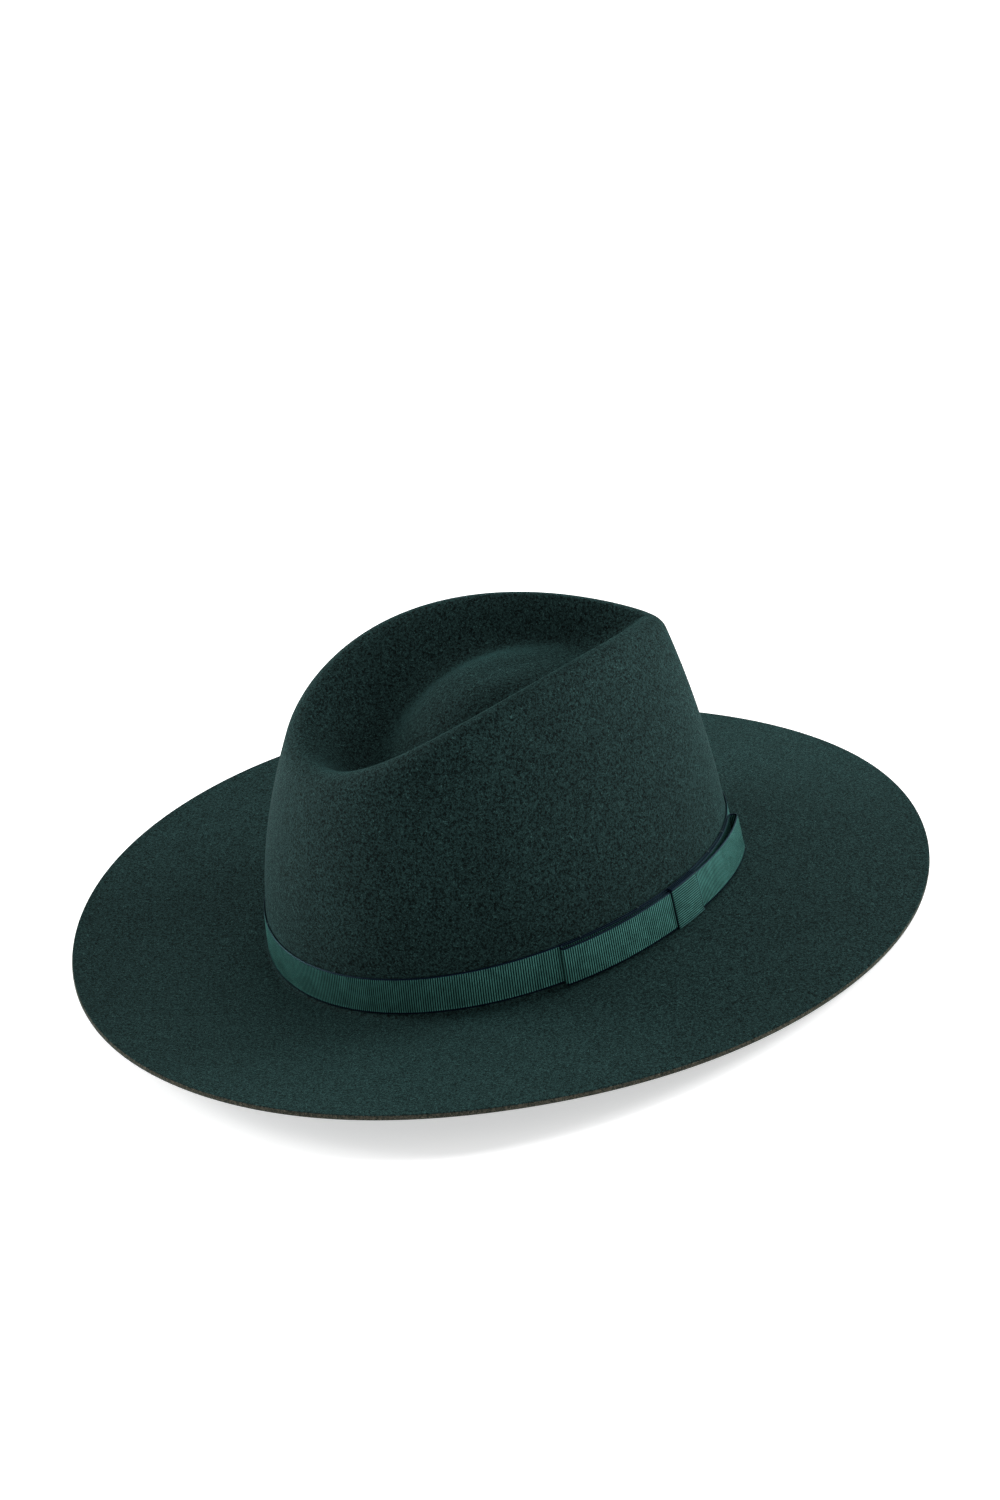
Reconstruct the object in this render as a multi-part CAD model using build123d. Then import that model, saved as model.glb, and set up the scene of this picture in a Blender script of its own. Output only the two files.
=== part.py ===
from build123d import *
import os
from math import atan2, cos, hypot, pi, radians, sin, sqrt

# A wide-brimmed felt hat (fedora) for a 57 cm head, standing on a flat surface.
# Millimetres. The shapes are worked out in the hat's own frame and then set down by stand():
# front -Y, wearer's left +X, up +Z, height 0 where the crown's wall meets the brim.
# Angles go round the crown: 0 at the front, 90 degrees at the wearer's left, 180 at the back.

# ---- driving dimensions ----
HEAD_LENGTH = 206.0         # crown at its foot, outside, front to back
HEAD_WIDTH = 171.2          # and side to side
EGG = 0.07                  # how much narrower the front of the oval is than its back
FELT = 2.2                  # felt thickness

BRIM_WIDTH = 81.0           # from the crown's foot to the cut edge
BRIM_STRETCH = 2.27         # extra brim at front and back
BRIM_LIFT = 0.58            # height of the edge, averaged
BRIM_SNAP = 15.0            # the front edge drops this much and the back edge rises as much
BRIM_SIDE = -0.34           # second harmonic of the edge's height
BRIM_CURL = 1.21            # third harmonic of the edge's height
BRIM_RAISE = 3.4            # the edge at the wearer's right is this much higher than at the left
BRIM_EASE = 1.15            # above 1, the brim leaves the crown flat and bends further out
FOOT_SWAY = 1.53            # the crown's foot is this much higher at the sides than in front
FOOT_RADIUS = 2.5           # fillet between crown and brim

RIM_FRONT = -87.3           # front tip of the crown's top ridge
RIM_BACK = 75.8             # rearmost point of the ridge
RIM_HALF_WIDTH = 56.6       # widest half of the teardrop
RIM_POINT = 0.98            # 0 is an ellipse, 1 is a teardrop
RIM_TIP = 0.10              # rounds the tip of the teardrop
RIM_HEIGHT = 111.1          # ridge height halfway along
RIM_TILT = -7.93            # linear fall of the ridge from front to back
RIM_ARCH = -17.42           # quadratic fall of the ridge towards both ends
RIDGE = 3.74                # the ridge stands this far out of and above its outline
RIDGE_SOFT = 2.5            # and its radius is this much larger
RIDGE_FRONT = 3.0           # added to it at the pinched front
RIDGE_BACK = 4.0            # added to it at the back
WALL_BULGE = 2.8            # how far the wall swells halfway up
BACK_BULGE = 1.8            # added to it at the back

DENT_CENTRE = -12.0         # centre of the teardrop dent
GROOVE_SIDE = 0.54          # where the groove runs, as a share of the ridge's outline: sides,
GROOVE_FRONT = 0.62         # front
GROOVE_BACK = 0.68          # and back
GROOVE_DEPTH = 12.0         # groove depth under the ridge, front
GROOVE_DEEPER = 11.0        # added at the back
GROOVE_STEEP = 0.9          # below 1 the dent falls faster inside the ridge
DOME_HEIGHT = 112.0         # height that the dent's levels run to at its centre
DOME_DROP = 9.5             # the dome's top lies this much lower
DOME_FLAT = 1.7             # above 1 the dome's top is flatter
DOME_ROUND = 0.75           # how round the dent's outline gets by its centre
DENT_END = 0.06             # the dent's surface ends in a small flat disc

RIBBON_WIDTH = 16.3
RIBBON = 0.5                # grosgrain thickness
RIBBON_FOOT = 1.2           # ribbon's lower edge above the crown's foot
RIBBON_GAP = 0.3            # slack between felt and ribbon

BOW_ANGLE = radians(304.3)  # centre of the bow, on the wearer's right towards the front
BOW_HALF = 59.0             # half of the bow's length
BOW_RADIUS = 95.0           # crown radius beside the bow
KNOT_WIDTH = 16.0
KNOT_SKIN = 0.35            # knot's ribbon, pulled thin
KNOT_SLACK = 0.22           # clear of the ribbon and of the loop that it holds
KNOT_CORNER = 0.4
KNOT_OVER = 0.2             # knot's ribbon turns this far beyond the band's edges
KNOT_HALF_GAP = 0.70        # half distance of the loop's two layers under the knot
KNOT_MIDDLE = 2.50          # distance of the loop's middle from the felt there
LOOP_BACK = (1.35, 2.60)    # half distance and middle at the rear fold
LOOP_FRONT = (1.90, 3.20)   # and at the front fold, which stands open

BAND_HEIGHT = 32.0          # sweatband
BAND = 0.9
BAND_FOOT = 1.6
BAND_MIDDLE = -3.7          # its middle, in from the felt's outer face
REED_RADIUS = 0.8
REED_HEIGHT = 0.5
TAPE = 0.2
TAPE_RADIUS = 0.95          # middle of the tape's turn under the reed
TAPE_OUTER_TOP = 5.0
TAPE_INNER_TOP = 6.5
STITCHES = 96
STITCH_RADIUS = 0.25
STITCH_LENGTH = 3.6
TACKS = 8
STITCH_HEIGHT = 3.6         # stitches that hold the tape to the band
TACK_RISE = 0.15            # tack threads clear the ribbon's edge by this much
TACK_NEAR = 0.15            # and start this far out of the felt
BOW_TACK_FAR = 1.5

SEAM_WIDTH = 12.0           # patch behind the band's joined ends
SEAM_FOOT = 10.0
SEAM_TOP = 26.0
SEAM_NEAR = -3.0
SEAM_FAR = -2.75
TRIM_GAP = 0.1              # slack between the band's inner face and its trims
SMALL_BOW_FOOT = 25.0       # small bow at the back of the band
SMALL_BOW_TOP = 29.5
SMALL_BOW_THICK = 1.0
SMALL_BOW_INNER = 0.021     # its loops start and end at these angles from the back
SMALL_BOW_OUTER = 0.125
SMALL_KNOT_HALF = 0.019
SMALL_KNOT_FOOT = 25.5
SMALL_KNOT_TOP = 29.0
SMALL_KNOT_THICK = 1.4
TAB_START = pi - 0.62       # blank size tab, beside the back
TAB_END = pi - 0.46
TAB_FOOT = 12.0
TAB_TOP = 22.0
TAB_THICK = 0.3

REST_TILT = -2.37           # degrees about X: the brim's front edge and the crown's foot touch down
REST_LIFT = 8.27            # and the height that this leaves under the foot of the crown
REST_SHIFT = -0.2           # moves the middle of the brim back over the origin

AROUND = 48                 # points in each section round the hat
STEP = 1e-4

half_length = HEAD_LENGTH / 2
half_width = HEAD_WIDTH / 2


# ---- outlines ----
def foot_outline(angle, grow=0.0):
    """Crown's oval foot, offset outward by grow: x, y and the outward normal."""
    x = half_width * sin(angle) * (1 - EGG * cos(angle))
    y = -half_length * cos(angle)
    dx = half_width * (cos(angle) - EGG * cos(2 * angle))
    dy = half_length * sin(angle)
    nx, ny = dy / hypot(dx, dy), -dx / hypot(dx, dy)
    return x + grow * nx, y + grow * ny, nx, ny


def teardrop(angle):
    return sin(angle) * (sin(angle / 2) ** 2 + RIM_TIP) ** (RIM_POINT / 2)


teardrop_widest = max(teardrop(radians(step)) for step in range(180))


def ridge_outline(angle):
    """Plan of the ridge round the top of the crown."""
    x = RIM_HALF_WIDTH * teardrop(angle) / teardrop_widest
    y = (RIM_FRONT + RIM_BACK) / 2 - (RIM_BACK - RIM_FRONT) / 2 * cos(angle)
    return x, y


def ridge_normal(angle):
    x1, y1 = ridge_outline(angle - STEP)
    x2, y2 = ridge_outline(angle + STEP)
    length = hypot(x2 - x1, y2 - y1)
    return (y2 - y1) / length, -(x2 - x1) / length


def ridge_height(angle):
    along = -cos(angle)
    return RIM_HEIGHT + RIM_TILT * along + RIM_ARCH * along**2


def ridge_radius(angle):
    radius = RIDGE + RIDGE_SOFT
    return radius + RIDGE_FRONT * cos(angle / 2) ** 12 + RIDGE_BACK * sin(angle / 2) ** 4


def foot_height(angle):
    return -FOOT_SWAY * cos(2 * angle)


def edge_height(angle):
    sway = BRIM_SIDE * cos(2 * angle) - BRIM_SNAP * cos(angle) + BRIM_CURL * cos(3 * angle)
    return BRIM_LIFT + sway + BRIM_RAISE * max(-sin(angle), 0) ** 1.5


# ---- the felt's outer surface, in five stations from the brim's edge to the dent's centre ----
def brim_point(angle, share):
    out = 1 - share
    x, y, nx, ny = foot_outline(angle, FOOT_RADIUS + (BRIM_WIDTH - FOOT_RADIUS) * out)
    rise = (edge_height(angle) - foot_height(angle)) * out**BRIM_EASE
    return x, y - BRIM_STRETCH * cos(angle) * out, foot_height(angle) + rise


def fillet_point(angle, share):
    turn = share * pi / 2
    x, y, nx, ny = foot_outline(angle, FOOT_RADIUS * (1 - sin(turn)))
    return x, y, foot_height(angle) + FOOT_RADIUS * (1 - cos(turn))


def wall_bulge(angle):
    return WALL_BULGE + BACK_BULGE * ((1 - cos(angle)) / 2) ** 2


def wall_lean(angle):
    """Inward lean of the wall, in radians, where it runs into the ridge."""
    x0, y0 = foot_outline(angle)[:2]
    x1, y1 = ridge_outline(angle)
    nx, ny = ridge_normal(angle)
    run = (x0 - x1) * nx + (y0 - y1) * ny - RIDGE + 4 * wall_bulge(angle)
    rise = ridge_height(angle) + RIDGE - ridge_radius(angle) - foot_height(angle) - FOOT_RADIUS
    return atan2(run, rise)


def ridge_point(angle, share):
    lean = wall_lean(angle)
    turn = lean + share * (pi / 2 - lean)
    x, y = ridge_outline(angle)
    nx, ny = ridge_normal(angle)
    radius = ridge_radius(angle)
    out = RIDGE - radius + radius * cos(turn)
    return x + nx * out, y + ny * out, ridge_height(angle) + RIDGE - radius + radius * sin(turn)


def wall_point(angle, share):
    x0, y0, nx0, ny0 = foot_outline(angle)
    z0 = foot_height(angle) + FOOT_RADIUS
    x1, y1, z1 = ridge_point(angle, 0)
    nx1, ny1 = ridge_normal(angle)
    bulge = 4 * share * (1 - share) * wall_bulge(angle)
    x = x0 + (x1 - x0) * share + (nx0 + (nx1 - nx0) * share) * bulge
    y = y0 + (y1 - y0) * share + (ny0 + (ny1 - ny0) * share) * bulge
    return x, y, z0 + (z1 - z0) * share


def dent_point(angle, share):
    size = 1 - share
    backward = (1 - cos(angle)) / 2
    x, y = ridge_outline(angle)
    nx, ny = ridge_normal(angle)
    inset = RIDGE - ridge_radius(angle)
    x, y = x + nx * inset, y + ny * inset
    rounder = min(share / 0.4, 1) * DOME_ROUND
    x = x * (1 - rounder) + 0.92 * RIM_HALF_WIDTH * sin(angle) * rounder
    end = GROOVE_FRONT if cos(angle) > 0 else GROOVE_BACK
    groove = GROOVE_SIDE + (end - GROOVE_SIDE) * cos(angle) ** 2
    depth = GROOVE_DEPTH + GROOVE_DEEPER * backward
    if size > groove:
        drop = depth * (1 - cos(pi * (share / (1 - groove)) ** GROOVE_STEEP)) / 2
    else:
        drop = DOME_DROP + (depth - DOME_DROP) * (1 - cos(pi * (size / groove) ** DOME_FLAT)) / 2
    ease = size**2 * (3 - 2 * size)
    level = DOME_HEIGHT + (ridge_height(angle) + RIDGE - DOME_HEIGHT) * ease
    return x * size, DENT_CENTRE + (y - DENT_CENTRE) * size, level - drop


SURFACES = [brim_point, fillet_point, wall_point, ridge_point, dent_point]


def felt_surface(angle, station):
    """Outer felt at a station from 0, the brim's edge, to 5, the centre of the dent."""
    index = min(max(int(station), 0), len(SURFACES) - 1)
    return Vector(*SURFACES[index](angle, station - index))


def felt_normal(angle, station):
    around = felt_surface(angle + STEP, station) - felt_surface(angle - STEP, station)
    onward = felt_surface(angle, station + STEP) - felt_surface(angle, max(station - STEP, 0))
    return around.cross(onward).normalized()


# ---- solids from sections ----
def ring_angles(count=AROUND):
    return [2 * pi * step / count for step in range(count)]


def closed_wire(points):
    knots = [float(step) for step in range(len(points) + 1)]
    return Wire([Edge.make_spline(points, periodic=True, parameters=knots)])


def skin(wires, ruled=False):
    return Shell.make_loft(wires, ruled=ruled).faces()


def solid_from(faces):
    solid = Solid(Shell(faces))
    return solid if solid.volume > 0 else Solid(solid.wrapped.Reversed())


def sleeve(outer, inner, ruled=False):
    """A tube with walls: two open skins joined by a strip at each end."""
    ends = [[outer[0], inner[0]], [outer[-1], inner[-1]]]
    faces = skin(outer, ruled) + skin(inner, ruled)
    for end in ends:
        faces += skin(end, ruled=True)
    return solid_from(faces)


def stand(shape):
    """Set the hat down on the surface z = 0."""
    return Pos(0, REST_SHIFT, REST_LIFT) * Rot(REST_TILT, 0, 0) * shape


def save(name, shape):
    export_step(stand(shape), f"parts/{name}.step")


# ---- places on the crown's wall ----
def on_crown(angle, height, out):
    """Point at a height above the crown's foot, a distance out from the felt's outer face."""
    if height < FOOT_RADIUS:
        reach = FOOT_RADIUS - sqrt(FOOT_RADIUS**2 - (FOOT_RADIUS - max(height, 0)) ** 2)
        x, y, nx, ny = foot_outline(angle, min(reach, FOOT_RADIUS) if out > 0 else 0)
        return Vector(x + nx * out, y + ny * out, foot_height(angle) + height)
    wall_height = ridge_point(angle, 0)[2] - foot_height(angle) - FOOT_RADIUS
    x, y, z = wall_point(angle, (height - FOOT_RADIUS) / wall_height)
    nx, ny = foot_outline(angle)[2:]
    return Vector(x + nx * out, y + ny * out, z)


def crown_ring(height, out):
    return closed_wire([on_crown(angle, height, out) for angle in ring_angles()])


def crown_patch(start, end, low, high, near, far, count=4):
    """A strip of sheet that follows the wall between two angles."""
    sections = []
    for step in range(count):
        angle = start + (end - start) * step / (count - 1)
        corners = [(low, near), (low, far), (high, far), (high, near)]
        points = [on_crown(angle, height, out) for height, out in corners]
        sections.append(Wire.make_polygon(points, close=True))
    return Solid.make_loft(sections)


# ---- felt ----
def felt_body():
    spans = [(0, 1, 5), (1, 2, 4), (2, 3, 7), (3, 4, 6), (4, 5 - DENT_END, 18)]
    outside, inside = [], []
    for start, end, steps in spans:
        for step in range(steps):
            outside.append(start + (end - start) * step / steps)
    outside.append(5 - DENT_END)
    outer_wires, inner_wires = [], []
    for station in outside:
        outer, inner = [], []
        for angle in ring_angles():
            point = felt_surface(angle, station)
            outer.append(point)
            inner.append(point - felt_normal(angle, station) * FELT)
        outer_wires.append(outer)
        inner_wires.append(inner)
    for rows in (outer_wires, inner_wires):
        level = sum(point.Z for point in rows[-1]) / AROUND
        rows[-1] = [Vector(point.X, point.Y, level) for point in rows[-1]]
    outer_wires = [closed_wire(points) for points in outer_wires]
    inner_wires = [closed_wire(points) for points in inner_wires]
    faces = ShapeList()
    first = 0
    for start, end, steps in spans:
        last = first + steps
        faces += skin(outer_wires[first : last + 1])
        faces += skin(inner_wires[first : last + 1])
        first = last
    faces += skin([outer_wires[0], inner_wires[0]], ruled=True)
    faces += [Face(outer_wires[-1]), Face(inner_wires[-1])]
    return solid_from(faces)


# ---- ribbon and bow ----
RIBBON_TOP = RIBBON_FOOT + RIBBON_WIDTH
BAND_FACE = RIBBON_GAP + RIBBON     # the ribbon's outer face


def ribbon_band():
    heights = [RIBBON_FOOT, RIBBON_FOOT + RIBBON_WIDTH / 2, RIBBON_TOP]
    outer = [crown_ring(height, BAND_FACE) for height in heights]
    inner = [crown_ring(height, RIBBON_GAP) for height in heights]
    return sleeve(outer, inner)


def loop_spread(along):
    """Half distance and middle of the bow's two layers, at a place from -1 (rear) to 1."""
    end = LOOP_FRONT if along > 0 else LOOP_BACK
    open_share = (1 - cos(pi * min(abs(along), 1))) / 2
    half = KNOT_HALF_GAP + (end[0] - KNOT_HALF_GAP) * open_share
    return half, KNOT_MIDDLE + (end[1] - KNOT_MIDDLE) * open_share


def loop_outline(grow, count=31):
    """Flattened loop of ribbon seen from above: length along the crown, distance out."""
    outline = []
    for side, direction in ((1, 1), (-1, -1)):
        for step in range(count):
            reach = BOW_HALF - LOOP_FRONT[0] if direction > 0 else BOW_HALF - LOOP_BACK[0]
            other = BOW_HALF - LOOP_BACK[0] if direction > 0 else BOW_HALF - LOOP_FRONT[0]
            share = (1 - cos(pi * step / (count - 1))) / 2
            along = direction * (-other + (reach + other) * share)
            half, middle = loop_spread(along / BOW_HALF)
            outline.append((along, middle + side * (half + grow)))
        end_half, end_middle = LOOP_FRONT if direction > 0 else LOOP_BACK
        for turn in (45, 90, 135):
            radius = end_half + grow
            reach = direction * (BOW_HALF - end_half + radius * sin(radians(turn)))
            outline.append((reach, end_middle + side * radius * cos(radians(turn))))
    return outline


def loop_wire(height, grow):
    points = []
    for along, out in loop_outline(grow):
        points.append(on_crown(BOW_ANGLE + along / BOW_RADIUS, height, out))
    return Wire.make_polygon(points, close=True)


def bow_loop():
    low, high = RIBBON_FOOT + 0.2, RIBBON_TOP - 0.1
    heights = [low, (low + high) / 2, high]
    outer = [loop_wire(height, RIBBON / 2) for height in heights]
    inner = [loop_wire(height, -RIBBON / 2) for height in heights]
    return sleeve(outer, inner, ruled=True)


def rounded_frame(low, high, near, far, radius):
    """Closed outline in height and distance out, with rounded corners."""
    outline = []
    corners = [(high, far, 0), (high, near, 90), (low, near, 180), (low, far, 270)]
    for height, out, start in corners:
        up = height - radius if height == high else height + radius
        side = out - radius if out == far else out + radius
        for turn in (0, 45, 90):
            angle = radians(start + turn)
            outline.append((up + radius * sin(angle), side + radius * cos(angle)))
    return outline


def knot_outline(grow):
    near = BAND_FACE + KNOT_SLACK + KNOT_SKIN / 2 - grow
    far = KNOT_MIDDLE + KNOT_HALF_GAP + RIBBON / 2 + KNOT_SLACK + KNOT_SKIN / 2 + grow
    low, high = RIBBON_FOOT - KNOT_OVER - grow, RIBBON_TOP + KNOT_OVER + grow
    return rounded_frame(low, high, near, far, KNOT_CORNER + grow)


def knot_wire(along, grow):
    angle = BOW_ANGLE + along / BOW_RADIUS
    points = [on_crown(angle, height, out) for height, out in knot_outline(grow)]
    return Wire.make_polygon(points, close=True)


def bow_knot():
    places = [KNOT_WIDTH * share for share in (-0.5, 0, 0.5)]
    outer = [knot_wire(along, KNOT_SKIN / 2) for along in places]
    inner = [knot_wire(along, -KNOT_SKIN / 2) for along in places]
    return sleeve(outer, inner, ruled=True)


def radial_thread(angle, height, near, far, radius=STITCH_RADIUS):
    start, end = on_crown(angle, height, near), on_crown(angle, height, far)
    return Solid.make_cylinder(radius, (end - start).length, Plane(start, z_dir=end - start))


def ribbon_tacks():
    """Thread tacks over the ribbon's upper edge, clear of the bow."""
    start = BOW_ANGLE + 1.15 * BOW_HALF / BOW_RADIUS - 2 * pi
    end = BOW_ANGLE - 1.15 * BOW_HALF / BOW_RADIUS
    angles = [start + (end - start) * (step + 0.5) / TACKS for step in range(TACKS)]
    height = RIBBON_TOP + STITCH_RADIUS + TACK_RISE
    return [radial_thread(angle, height, TACK_NEAR, BAND_FACE) for angle in angles]


def bow_tacks():
    """Threads over the bow's upper edge, two to each loop."""
    height = RIBBON_TOP + STITCH_RADIUS + TACK_RISE
    places = [BOW_ANGLE + BOW_HALF * share / BOW_RADIUS for share in (-0.85, -0.4, 0.4, 0.7)]
    return [radial_thread(angle, height, TACK_NEAR, BOW_TACK_FAR) for angle in places]


# ---- inside the crown ----
def sweatband():
    heights = [BAND_FOOT + BAND_HEIGHT * step / 4 for step in range(5)]
    outer = [crown_ring(height, BAND_MIDDLE + BAND / 2) for height in heights]
    inner = [crown_ring(height, BAND_MIDDLE - BAND / 2) for height in heights]
    return sleeve(outer, inner)


def reed_ring(turn, radius):
    return crown_ring(REED_HEIGHT + radius * sin(turn), BAND_MIDDLE + radius * cos(turn))


def sweatband_reed():
    halves = [[side * pi * step / 6 for step in range(7)] for side in (1, -1)]
    faces = ShapeList()
    for turns in halves:
        faces += skin([reed_ring(turn, REED_RADIUS) for turn in turns])
    return solid_from(faces)


def tape_face(grow):
    """Rings along the tape: down behind the band, under the reed and up inside."""
    radius = TAPE_RADIUS + grow
    rings = [crown_ring(height, BAND_MIDDLE + radius) for height in (TAPE_OUTER_TOP, FOOT_RADIUS)]
    rings += [reed_ring(-pi * step / 6, radius) for step in range(7)]
    rings += [crown_ring(height, BAND_MIDDLE - radius) for height in (FOOT_RADIUS, TAPE_INNER_TOP)]
    return rings


def reed_tape():
    return sleeve(tape_face(TAPE / 2), tape_face(-TAPE / 2), ruled=True)


def sweatband_stitching():
    stitches = []
    out = BAND_MIDDLE - TAPE_RADIUS - TAPE / 2 - STITCH_RADIUS - 0.05
    for angle in ring_angles(STITCHES):
        here, ahead = (on_crown(place, STITCH_HEIGHT, out) for place in (angle, angle + STEP))
        direction = (ahead - here).normalized()
        start = here - direction * STITCH_LENGTH / 2
        stitches.append(Solid.make_cylinder(STITCH_RADIUS, STITCH_LENGTH, Plane(start, z_dir=direction)))
    return stitches


def sweatband_seam_tape():
    """Patch behind the band's joined ends at the back."""
    half = SEAM_WIDTH / 2 / half_length
    return crown_patch(pi - half, pi + half, SEAM_FOOT, SEAM_TOP, SEAM_NEAR, SEAM_FAR)


def band_trim(start, end, low, high, thick):
    """A flat trim on the band's inner face."""
    face = BAND_MIDDLE - BAND / 2 - TRIM_GAP
    return crown_patch(start, end, low, high, face - thick, face)


def sweatband_bow():
    """Small ribbon bow at the back of the band: two loops and a knot."""
    parts = []
    for start in (pi + SMALL_BOW_INNER, pi - SMALL_BOW_OUTER):
        end = start + SMALL_BOW_OUTER - SMALL_BOW_INNER
        parts.append(band_trim(start, end, SMALL_BOW_FOOT, SMALL_BOW_TOP, SMALL_BOW_THICK))
    knot = (pi - SMALL_KNOT_HALF, pi + SMALL_KNOT_HALF, SMALL_KNOT_FOOT, SMALL_KNOT_TOP)
    return parts + [band_trim(*knot, SMALL_KNOT_THICK)]


def size_tab():
    return band_trim(TAB_START, TAB_END, TAB_FOOT, TAB_TOP, TAB_THICK)


PARTS = {
    "felt_body": felt_body,
    "ribbon_band": ribbon_band,
    "ribbon_tacks": ribbon_tacks,
    "bow_loop": bow_loop,
    "bow_knot": bow_knot,
    "bow_tacks": bow_tacks,
    "sweatband": sweatband,
    "sweatband_reed": sweatband_reed,
    "reed_tape": reed_tape,
    "sweatband_stitching": sweatband_stitching,
    "sweatband_seam_tape": sweatband_seam_tape,
    "sweatband_bow": sweatband_bow,
    "size_tab": size_tab,
}

os.makedirs("parts", exist_ok=True)
for name, build in PARTS.items():
    made = build()
    save(name, Compound(children=made) if isinstance(made, list) else made)
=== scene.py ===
from math import cos, pi, radians, sin

import bpy
import numpy as np
from mathutils import Matrix, Vector


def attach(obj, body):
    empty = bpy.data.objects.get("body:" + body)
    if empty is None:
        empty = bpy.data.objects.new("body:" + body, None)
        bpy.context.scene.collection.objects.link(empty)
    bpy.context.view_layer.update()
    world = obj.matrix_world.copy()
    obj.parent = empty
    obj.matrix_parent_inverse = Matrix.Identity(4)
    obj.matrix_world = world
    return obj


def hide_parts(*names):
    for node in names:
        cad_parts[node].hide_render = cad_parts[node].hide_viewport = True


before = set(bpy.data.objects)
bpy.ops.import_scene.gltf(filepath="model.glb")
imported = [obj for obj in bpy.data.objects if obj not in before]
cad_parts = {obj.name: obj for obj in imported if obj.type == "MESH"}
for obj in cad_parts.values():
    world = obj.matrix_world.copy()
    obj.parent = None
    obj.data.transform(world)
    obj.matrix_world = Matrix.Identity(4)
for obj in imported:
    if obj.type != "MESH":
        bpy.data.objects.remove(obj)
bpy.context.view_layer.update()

# Looks of the felt hat. The shapes are worked out in millimetres in the hat's own frame, as in
# part.py: front -Y, wearer's left +X, height 0 at the foot of the crown, angles round the crown
# from 0 at the front. to_frame() sets them down in the shared frame, in metres.

# ---- sizes, as in part.py ----
HALF_LENGTH = 103.0
HALF_WIDTH = 85.6
EGG = 0.07
FELT = 2.2
BRIM_WIDTH = 81.0
BRIM_STRETCH = 2.27
BRIM_LIFT = 0.58
BRIM_SNAP = 15.0
BRIM_SIDE = -0.34
BRIM_CURL = 1.21
BRIM_RAISE = 3.4
BRIM_EASE = 1.15
FOOT_SWAY = 1.53
FOOT_RADIUS = 2.5
RIM_FRONT = -87.3
RIM_BACK = 75.8
RIM_HALF_WIDTH = 56.6
RIM_POINT = 0.98
RIM_TIP = 0.10
RIM_HEIGHT = 111.1
RIM_TILT = -7.93
RIM_ARCH = -17.42
RIDGE = 3.74
RIDGE_SOFT = 2.5
RIDGE_FRONT = 3.0
RIDGE_BACK = 4.0
WALL_BULGE = 2.8
BACK_BULGE = 1.8
DENT_CENTRE = -12.0
GROOVE_SIDE = 0.54
GROOVE_FRONT = 0.62
GROOVE_BACK = 0.68
GROOVE_DEPTH = 12.0
GROOVE_DEEPER = 11.0
GROOVE_STEEP = 0.9
DOME_HEIGHT = 112.0
DOME_DROP = 9.5
DOME_FLAT = 1.7
DOME_ROUND = 0.75
DOME_ROUND_BY = 0.4
DOME_OVAL = 0.92
DENT_END = 0.004
RIBBON_WIDTH = 16.3
RIBBON = 0.5
RIBBON_FOOT = 1.2
RIBBON_GAP = 0.3
RIBBON_TOP = RIBBON_FOOT + RIBBON_WIDTH
BAND_FACE = RIBBON_GAP + RIBBON     # the ribbon's outer face
BOW_ANGLE = radians(304.3)
BOW_HALF = 59.0
BOW_RADIUS = 95.0
KNOT_WIDTH = 16.0
KNOT_SKIN = 0.35
KNOT_SLACK = 0.22
KNOT_CORNER = 0.4
KNOT_OVER = 0.2
KNOT_HALF_GAP = 0.70
KNOT_MIDDLE = 2.50
LOOP_BACK = (1.35, 2.60)
LOOP_FRONT = (1.90, 3.20)
BAND_HEIGHT = 32.0
BAND = 0.9
BAND_FOOT = 1.6
BAND_MIDDLE = -3.7
BAND_INNER = BAND_MIDDLE - BAND / 2
REED_HEIGHT = 0.5
TAPE = 0.2
TAPE_RADIUS = 0.95
TAPE_OUTER_TOP = 5.0
TAPE_INNER_TOP = 6.5
STITCHES = 96
STITCH_RADIUS = 0.25
STITCH_LENGTH = 3.6
STITCH_HEIGHT = 3.6
SEAM_HALF = 0.058           # half its width, as an angle
SEAM_FOOT = 10.0
SEAM_TOP = 26.0
SEAM_MIDDLE = -2.875
SMALL_BOW_HEIGHT = 27.2     # middle of the small bow at the back of the band
TAB_START = pi - 0.62       # blank size tab
TAB_END = pi - 0.46
TAB_FOOT = 12.0
TAB_TOP = 22.0
REST_TILT = -2.37
REST_LIFT = 8.27
REST_SHIFT = -0.2

# ---- detail ----
HAND_SWAY = ((0.25, 4, 0.6), (0.2, 7, 2.1))     # height, waves round the brim, phase
FELT_COLUMNS = 420
FELT_ROWS = (70, 5, 72, 10, 78)                 # in each of the felt's surfaces
EDGE_ROUND = 0.45           # how far the cut edge is rounded, as a share of half the felt
EDGE_ROWS = 7
RIB_PITCH = 0.95            # grosgrain ribs
RIB_DEPTH = 0.13
RIB_COLUMNS = 6             # mesh columns across one rib
RIB_SHAPE = 0.7             # below 1 the crests are broad and the valleys narrow
RIB_FADE = 0.5              # the ribs get shallower this near to the ribbon's edges
RIB_LEAST = 0.25            # and keep this share of their depth at the edge itself
EDGE_CROWDING = 0.35        # share of a strip's rows that crowd towards its edges
KNOT_RIBS = 0.7             # the knot's ribs are this much shallower
KNOT_TURNED = 0.55          # its faces that look this far up or down get the dark navy cloth, painted shade on the knot's top and underside
LOOP_MARGIN = (0.2, 0.1)    # the loop is this much narrower than the band, at its foot and top
LOOP_POINTS = 160           # points along each layer of the loop's outline,
FOLD_POINTS = 24            # round each fold
CORNER_POINTS = 8           # and round each corner of the knot's outline
LENGTH_POINTS = 2001        # points that a strip's length is measured over
STRIP_ROWS = 14
FINE_DEPTH = 0.03           # ribs of tapes and tab
FINE_PITCH = 0.6
TAPE_LENGTH = 580
TAPE_RIBS = 960
TAPE_ROWS = 24
SEAM_WIDTH = 12
SEAM_RIBS = 20
TAB_WIDTH = 16
TAB_THICK = 0.3
TAB_GAP = 0.25              # from the band's face to the tab's middle
TAB_PITCH = 0.35
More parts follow.
